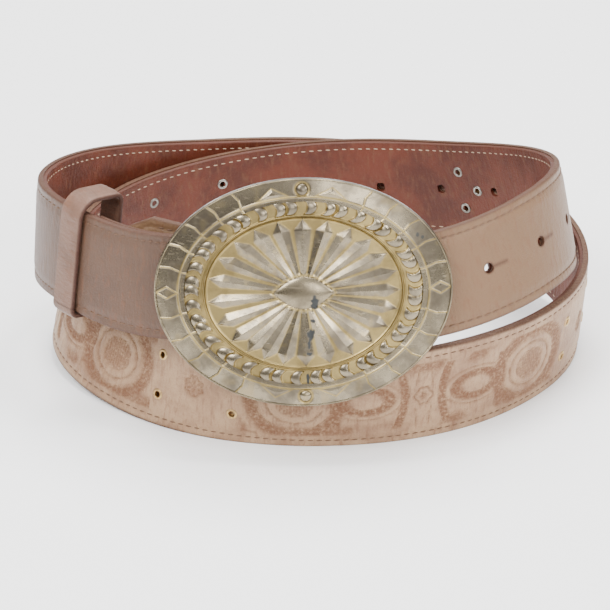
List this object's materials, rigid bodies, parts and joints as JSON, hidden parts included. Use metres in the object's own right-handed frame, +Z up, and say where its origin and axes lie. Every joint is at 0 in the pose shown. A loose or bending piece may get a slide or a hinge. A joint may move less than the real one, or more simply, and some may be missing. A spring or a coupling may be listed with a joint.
{
  "type": "western belt",
  "caption": "Coiled leather dress belt with tooled face, lining, metal eyelets, loose keeper and a domed oval plate buckle on a hinged bail.",
  "frame": {"origin": "middle of the object's box in plan, on the surface that the coil stands on", "axes": "+X to the right along the coil's longest way, -Y the front where the plate faces, +Z up across the strap's width, the object's shortest way"},
  "size_m": [0.2046, 0.1774, 0.102],
  "materials": {
    "tan_leather": "satin, tooled",
    "filler": "raw",
    "red_brown_lining": "satin",
    "nickel": "polished",
    "brass": "aged",
    "silver": "satin, aged",
    "gold": "satin, aged"
  },
  "bodies": {
    "strap": {"strap_face": "tan_leather", "strap_core": "filler", "strap_lining": "red_brown_lining", "fold_tab": "tan_leather", "snap_posts": "nickel", "snap_studs": "nickel", "snap_sockets": "nickel", "snap_caps": "nickel", "eyelets": "brass", "eyelet_washers": "nickel"},
    "keeper": {"keeper_loop": "tan_leather", "keeper_staple": "nickel"},
    "bail": {"bail": "nickel"},
    "buckle": {"buckle_plate": "silver", "buckle_rim": "silver", "bead_band": "silver", "ray_medallion": "gold", "eye_boss": "silver", "bail_knuckles": "silver", "hook_base": "silver", "hook": "nickel"}
  },
  "joints": [
    {"name": "bail_swing", "type": "hinge", "parent": "strap", "child": "bail", "pos_m": [-0.04613, -0.06264, 0.05747], "axis": [0.0179, -0.2652, -0.964], "range_deg": [0, 20]},
    {"name": "plate_tilt", "type": "hinge", "parent": "bail", "child": "buckle", "pos_m": [-0.03399, -0.07071, 0.05992], "axis": [0.0179, -0.2652, -0.964], "range_deg": [0, 8]},
    {"name": "keeper_slide", "type": "slide", "parent": "strap", "child": "keeper", "axis": [0.6439, -0.765, -0.0124], "range_m": [-0.004, 0.004]}
  ]
}
